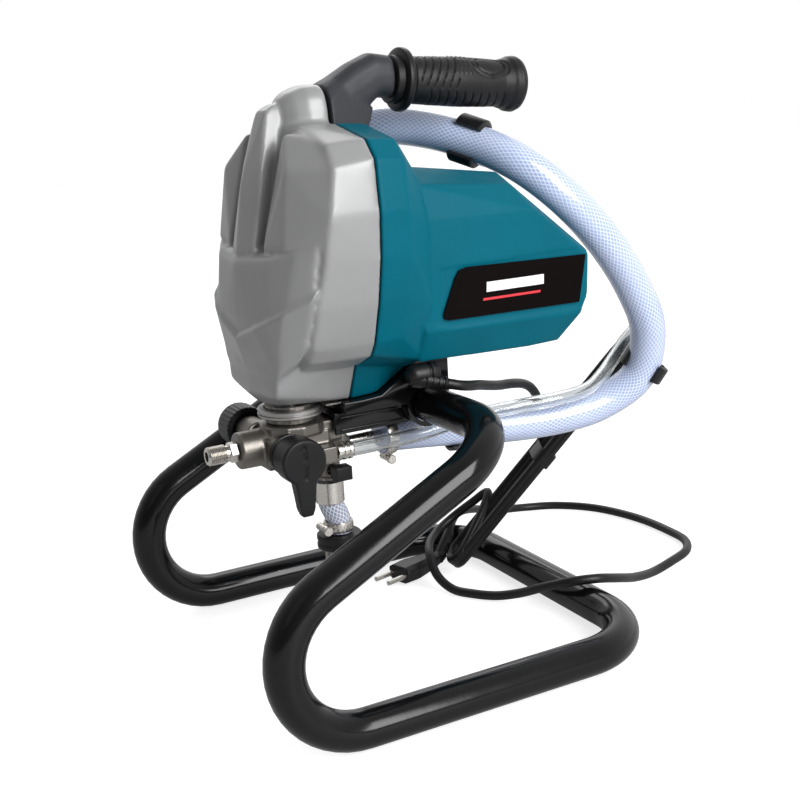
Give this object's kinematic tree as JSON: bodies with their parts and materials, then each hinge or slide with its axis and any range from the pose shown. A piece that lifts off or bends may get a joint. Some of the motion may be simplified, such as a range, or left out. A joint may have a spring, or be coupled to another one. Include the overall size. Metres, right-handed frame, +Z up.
{
  "type": "airless paint sprayer",
  "caption": "Electric airless paint sprayer: piston pump and motor in a two-part casing with a handle, on a bent tube stand, with hoses and mains cord.",
  "frame": {"origin": "on the surface it stands on, under the middle of the machine's length and width", "axes": "+Z up, +X to the motor's end, -Y towards the side with the label and the prime valve"},
  "size_m": [0.4424, 0.3119, 0.4118],
  "materials": {
    "frame_paint": "gloss black powder coat",
    "cover_paint": "satin silver grey paint",
    "housing_plastic": "satin moulded plastic, blue green",
    "dark_plastic": "fine moulded grain",
    "grip_rubber": "moulded soft rubber",
    "cast_metal": "die cast, nickel plated, slightly rough",
    "steel": "turned and plated",
    "mesh_steel": "woven wire",
    "black_plastic": "moulded, satin",
    "cord_rubber": "smooth rubber sheath",
    "braided_pvc": "translucent hose with woven white yarn inside",
    "clear_pvc": "clear smooth tube",
    "copper": "copper windings on a steel core",
    "label_print": "gloss film with a plain stripe"
  },
  "bodies": {
    "machine": {"frame_tube": "frame_paint", "chassis_channel": "frame_paint", "motor_saddle": "frame_paint", "tube_strap_near": "frame_paint", "tube_strap_far": "frame_paint", "front_cover": "cover_paint", "motor_housing": "housing_plastic", "handle_bracket": "dark_plastic", "handle_collar": "dark_plastic", "handle_grip": "grip_rubber", "seam_gasket": "grip_rubber", "pump_neck": "cast_metal", "lock_ring": "cast_metal", "pump_manifold": "cast_metal", "inlet_housing": "cast_metal", "gear_plate": "cast_metal", "bearing_plate": "cast_metal", "handle_rod": "steel", "outlet_fitting": "steel", "inlet_seat": "steel", "inlet_sleeve": "steel", "drop_hose_clamp": "steel", "suction_fitting": "steel", "suction_clamp": "steel", "return_ferrule": "steel", "stator": "steel", "front_bearing": "steel", "rear_bearing": "steel", "plug_pin_1": "steel", "plug_pin_2": "steel", "strainer_mesh": "mesh_steel", "prime_valve_body": "black_plastic", "strainer_collar": "black_plastic", "hose_clip_front": "black_plastic", "hose_clip_rear": "black_plastic", "hose_clip_upper": "black_plastic", "hose_clip_side": "black_plastic", "suction_strainer": "black_plastic", "switch_frame": "black_plastic", "cord_grommet": "cord_rubber", "power_cord_upper": "cord_rubber", "power_cord_lower": "cord_rubber", "cord_hank": "cord_rubber", "plug_body": "cord_rubber", "suction_hose": "braided_pvc", "drop_hose": "braided_pvc", "return_tube": "clear_pvc", "label_plate": "label_print"},
    "rotor": {"rotor": "copper", "cooling_fan": "black_plastic"},
    "cluster": {"cluster_gear": "steel"},
    "crank": {"crank_gear": "steel"},
    "piston": {"scotch_yoke": "steel", "piston_rod": "steel"},
    "prime_lever": {"prime_valve_lever": "black_plastic"},
    "pressure_control": {"pressure_knob": "black_plastic", "pressure_stem": "steel"},
    "pusher": {"inlet_pusher": "black_plastic"},
    "ball": {"inlet_ball": "steel"},
    "rocker": {"switch_rocker": "black_plastic"}
  },
  "joints": [
    {"name": "motor_spin", "type": "hinge", "parent": "machine", "child": "rotor", "pos_m": [0.0305, 0, 0.258], "axis": [1, 0, 0], "continuous": true},
    {"name": "cluster_spin", "type": "hinge", "parent": "machine", "child": "cluster", "pos_m": [-0.0605, 0.02843, 0.28613], "axis": [1, 0, 0], "continuous": true},
    {"name": "crank_spin", "type": "hinge", "parent": "machine", "child": "crank", "pos_m": [-0.0775, 0, 0.242], "axis": [1, 0, 0], "continuous": true},
    {"name": "piston_slide", "type": "slide", "parent": "machine", "child": "piston", "axis": [0, 0, 1], "range_m": [-0.007, 0.007]},
    {"name": "prime_valve_turn", "type": "hinge", "parent": "machine", "child": "prime_lever", "pos_m": [-0.1155, -0.042, 0.158], "axis": [0, 1, 0], "range_deg": [0, 90]},
    {"name": "pressure_knob_turn", "type": "hinge", "parent": "machine", "child": "pressure_control", "pos_m": [-0.1215, 0.045, 0.164], "axis": [0, 1, 0], "range_deg": [0, 270]},
    {"name": "inlet_pusher_press", "type": "slide", "parent": "machine", "child": "pusher", "axis": [0, 1, 0], "range_m": [0, 0.0025], "stiffness_N_per_m": 400, "springref_m": -0.002},
    {"name": "inlet_ball_lift", "type": "slide", "parent": "machine", "child": "ball", "axis": [0, 0, 1], "range_m": [0, 0.002]},
    {"name": "switch_rocker_tip", "type": "hinge", "parent": "machine", "child": "rocker", "pos_m": [0.0165, 0.0663, 0.257], "axis": [0, 0, 1], "range_deg": [0, 16]}
  ],
  "couplings": [
    {"joint": "cluster_spin", "follows": "motor_spin", "ratio": -0.33333},
    {"joint": "crank_spin", "follows": "motor_spin", "ratio": 0.10417}
  ]
}
